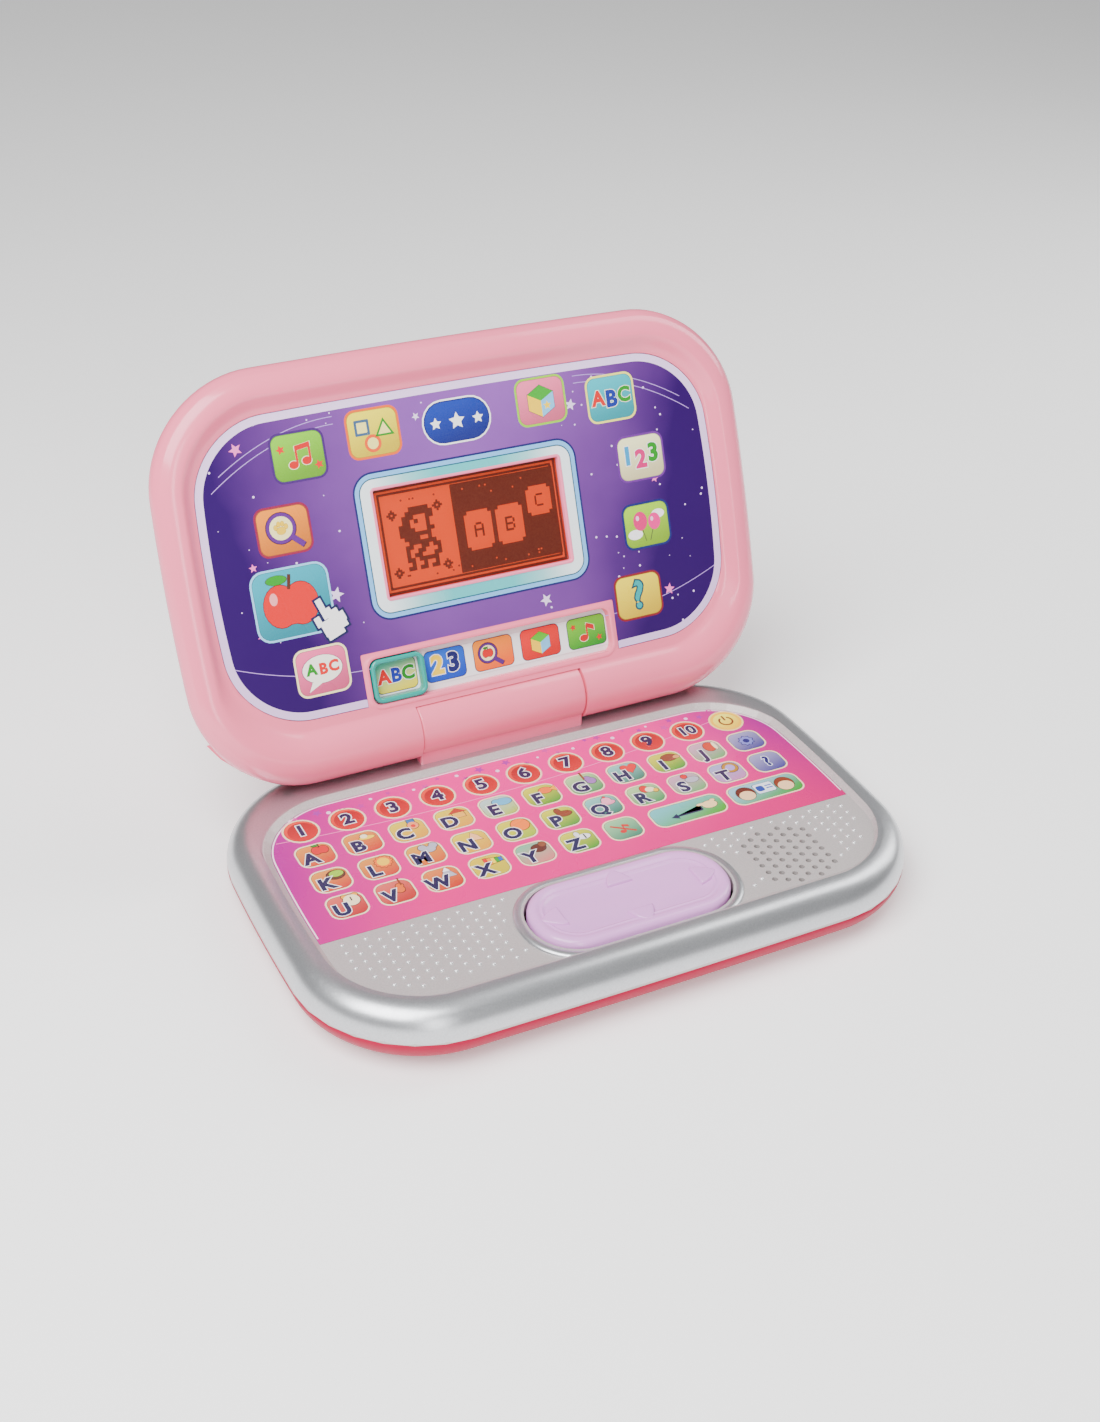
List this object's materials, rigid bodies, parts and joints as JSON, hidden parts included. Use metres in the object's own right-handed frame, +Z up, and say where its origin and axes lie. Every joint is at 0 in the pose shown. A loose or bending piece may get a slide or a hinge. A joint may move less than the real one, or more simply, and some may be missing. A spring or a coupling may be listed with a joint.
{
  "type": "toy learning laptop",
  "caption": "Clamshell children's learning laptop with a hinged lid, small screen, sliding mode picker, printed picture keyboard and rocking cursor pad.",
  "frame": {"origin": "middle of the open toy's footprint, on the table under its feet", "axes": "+Z up, +Y away from the user towards the lid, +X to the user's right; at rest the lid is open"},
  "size_m": [0.265, 0.222, 0.1914],
  "materials": {
    "pink_shell": "glossy injection-moulded ABS, light pink",
    "rose_shell": "glossy injection-moulded ABS, deep rose",
    "silver_paint": "ABS with pearly silver spray paint",
    "lilac_pad": "glossy lilac ABS with a finely textured face",
    "teal_plastic": "glossy turquoise ABS",
    "printed_sheet": "printed plastic film, pink to purple, with picture keys",
    "printed_card": "laminated print, purple with stars, icons and a screen bezel",
    "picture_strip": "laminated print of five picture tiles",
    "membrane_film": "polyester film with printed contacts",
    "clear_lens": "clear polystyrene lens",
    "lcd_glass": "LCD glass, orange with dark segments",
    "reflector": "orange reflective film",
    "silicone": "translucent silicone rubber",
    "zebra_rubber": "striped conductive elastomer",
    "circuit_board": "green phenolic board with solder mask",
    "black_foam": "open-cell foam",
    "speaker_parts": "pressed steel frame and paper cone",
    "nickel": "nickel-plated spring steel",
    "cell_jacket": "printed cell sleeve",
    "foot_rubber": "soft grey rubber",
    "screw_steel": "zinc-plated steel",
    "wire_sleeve": "black PVC sleeve",
    "pin_nylon": "natural nylon",
    "bracket_abs": "black ABS",
    "brass_wiper": "phosphor bronze strip"
  },
  "bodies": {
    "base": {"base_bottom_shell": "rose_shell", "base_top_shell": "silver_paint", "keyboard_overlay": "printed_sheet", "keyboard_membrane": "membrane_film", "hinge_centre_cover": "pink_shell", "hinge_bracket": "bracket_abs", "bracket_screws": "screw_steel", "rubber_keypad": "silicone", "keypad_pcb": "circuit_board", "main_pcb": "circuit_board", "board_screws": "screw_steel", "speaker": "speaker_parts", "speaker_gasket": "black_foam", "battery_contacts": "nickel", "batteries": "cell_jacket", "rubber_feet": "foot_rubber", "base_case_screws": "screw_steel", "cable_base_run": "wire_sleeve"},
    "lid": {"lid_front_shell": "pink_shell", "lid_back_shell": "pink_shell", "lid_artwork_panel": "printed_card", "picker_picture_strip": "picture_strip", "lcd_window": "clear_lens", "lcd_module": "lcd_glass", "lcd_reflector": "reflector", "lcd_contact_strip": "zebra_rubber", "lid_pcb": "circuit_board", "picker_contact_board": "circuit_board", "hinge_pin_left": "pin_nylon", "hinge_pin_right": "pin_nylon", "lid_case_screws": "screw_steel", "lid_board_screws": "screw_steel", "cable_lid_run": "wire_sleeve"},
    "mode_slider": {"mode_slider": "teal_plastic", "slider_contact_wiper": "brass_wiper"},
    "cursor_pivot": {"pad_pivot_post": "pin_nylon"},
    "cursor_pad": {"cursor_pad": "lilac_pad"},
    "battery_door": {"battery_cover": "rose_shell", "battery_cover_screw": "screw_steel"}
  },
  "joints": [
    {"name": "lid_hinge", "type": "hinge", "parent": "base", "child": "lid", "pos_m": [0, 0.04735, 0.042], "axis": [1, 0, 0], "range_deg": [-10, 112]},
    {"name": "mode_slide", "type": "slide", "parent": "lid", "child": "mode_slider", "axis": [1, 0, 0], "range_m": [0, 0.087]},
    {"name": "pad_rock_side", "type": "hinge", "parent": "base", "child": "cursor_pivot", "pos_m": [0, -0.07665, 0.021], "axis": [0, 1, 0], "range_deg": [-1.6, 1.6], "stiffness_Nm_per_rad": 2.5},
    {"name": "pad_rock_fore", "type": "hinge", "parent": "cursor_pivot", "child": "cursor_pad", "pos_m": [0, -0.07665, 0.021], "axis": [1, 0, 0], "range_deg": [-3.2, 3.2], "stiffness_Nm_per_rad": 0.5},
    {"name": "battery_door_hinge", "type": "hinge", "parent": "base", "child": "battery_door", "pos_m": [0, -0.0367, 0.0023], "axis": [-1, 0, 0], "range_deg": [0, 75]}
  ]
}
